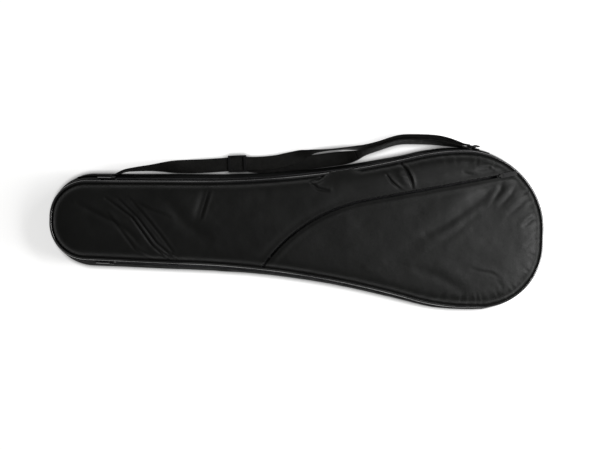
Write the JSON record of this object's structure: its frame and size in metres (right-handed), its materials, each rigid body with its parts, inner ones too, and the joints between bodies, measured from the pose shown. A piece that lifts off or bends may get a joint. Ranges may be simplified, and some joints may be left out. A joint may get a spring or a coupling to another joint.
{
  "type": "padded racket bag",
  "caption": "Full-length padded bag for a squash racket, with a fold-open zipped front flap, a zipped front pocket, piped edges and an adjustable shoulder strap.",
  "frame": {"origin": "on the rear panel's underside, on the bag's long centre line, midway between its handle end and its head", "axes": "+X along the bag towards the head, +Y towards the shoulder strap's side, +Z out of the front"},
  "size_m": [0.7554, 0.2726, 0.0663],
  "materials": {
    "nylon_front": "satin black woven nylon",
    "nylon_rear": "black woven nylon, plain",
    "nylon_gusset": "satin black woven nylon",
    "lining": "dark grey thin lining, matte",
    "foam": "closed-cell foam sheet, matte",
    "piping": "black glossy piping",
    "zip_tape": "black ribbed zip tape",
    "zip_coil": "black nylon coil",
    "zip_metal": "black painted zinc, worn at the edges",
    "webbing": "black ribbed webbing",
    "hardware": "black moulded plastic",
    "wire": "black coated steel wire"
  },
  "bodies": {
    "root": {"rear_panel": "nylon_rear", "rear_foam_pad": "foam", "rear_lining": "lining", "rear_piping": "piping", "lower_gusset": "nylon_gusset", "zip_tape_lower": "zip_tape", "zip_coil_lower": "zip_coil", "main_zip_stops": "zip_metal", "zip_end_tape": "zip_tape", "zip_end_coil": "zip_coil", "handle_end_gusset": "nylon_gusset", "handle_end_lining": "lining", "handle_end_foam": "foam", "handle_end_piping": "piping", "handle_end_panel": "nylon_front", "strap_anchor_patch": "nylon_gusset", "strap_sewn_end": "webbing", "ring_anchor_patch": "nylon_gusset", "ring_tab_end": "webbing", "strap_ring": "wire", "strap_ring_loop": "webbing", "ring_tab": "webbing"},
    "front_flap": {"front_lining": "lining", "front_foam_pad": "foam", "pocket_back": "lining", "front_panel": "nylon_front", "pocket_panel": "nylon_front", "front_piping": "piping", "upper_gusset": "nylon_gusset", "zip_tape_upper": "zip_tape", "zip_coil_upper": "zip_coil", "pocket_tape_upper": "zip_tape", "pocket_tape_lower": "zip_tape", "pocket_coil_upper": "zip_coil", "pocket_coil_lower": "zip_coil", "pocket_zip_stops": "zip_metal"},
    "zip_slider_strap_side": {"zip_slider_strap_side": "zip_metal"},
    "zip_pull_strap_side": {"zip_pull_strap_side": "zip_metal"},
    "zip_slider_far_side": {"zip_slider_far_side": "zip_metal"},
    "zip_pull_far_side": {"zip_pull_far_side": "zip_metal"},
    "pocket_zip_slider": {"pocket_zip_slider": "zip_metal"},
    "pocket_zip_pull": {"pocket_zip_pull": "zip_metal"},
    "shoulder_strap": {"strap_webbing": "webbing", "strap_return": "webbing"},
    "strap_adjuster": {"strap_adjuster": "hardware", "adjuster_loop": "webbing"}
  },
  "joints": [
    {"name": "front_flap_fold", "type": "hinge", "parent": "root", "child": "front_flap", "pos_m": [-0.263, 0, 0.062], "axis": [0, -1, 0], "range_deg": [0, 110]},
    {"name": "zip_slide_strap_side", "type": "slide", "parent": "root", "child": "zip_slider_strap_side", "axis": [0.9998, 0.02, 0], "range_m": [0, 0.08]},
    {"name": "zip_slide_far_side", "type": "slide", "parent": "root", "child": "zip_slider_far_side", "axis": [0.9998, -0.02, 0], "range_m": [0, 0.08]},
    {"name": "zip_pull_turn_strap_side", "type": "hinge", "parent": "zip_slider_strap_side", "child": "zip_pull_strap_side", "pos_m": [-0.27906, 0.06461, 0.03906], "axis": [-0.0046, 0.2301, -0.9731], "range_deg": [0, 175]},
    {"name": "zip_pull_turn_far_side", "type": "hinge", "parent": "zip_slider_far_side", "child": "zip_pull_far_side", "pos_m": [-0.27906, -0.06461, 0.03906], "axis": [0.0046, 0.2301, 0.9731], "range_deg": [0, 175]},
    {"name": "pocket_zip_slide", "type": "slide", "parent": "front_flap", "child": "pocket_zip_slider", "axis": [0.9792, 0.2028, 0], "range_m": [-0.2, 0]},
    {"name": "pocket_pull_turn", "type": "hinge", "parent": "pocket_zip_slider", "child": "pocket_zip_pull", "pos_m": [0.30276, 0.08137, 0.0647], "axis": [0.2028, -0.9792, 0], "range_deg": [0, 175]},
    {"name": "strap_swing", "type": "hinge", "parent": "root", "child": "shoulder_strap", "pos_m": [-0.188, 0.079, 0.012], "axis": [0.9944, 0.1049, 0.0111], "range_deg": [0, 80]},
    {"name": "adjuster_slide", "type": "slide", "parent": "shoulder_strap", "child": "strap_adjuster", "axis": [0.9981, 0.0615, 0], "range_m": [-0.045, 0]}
  ]
}
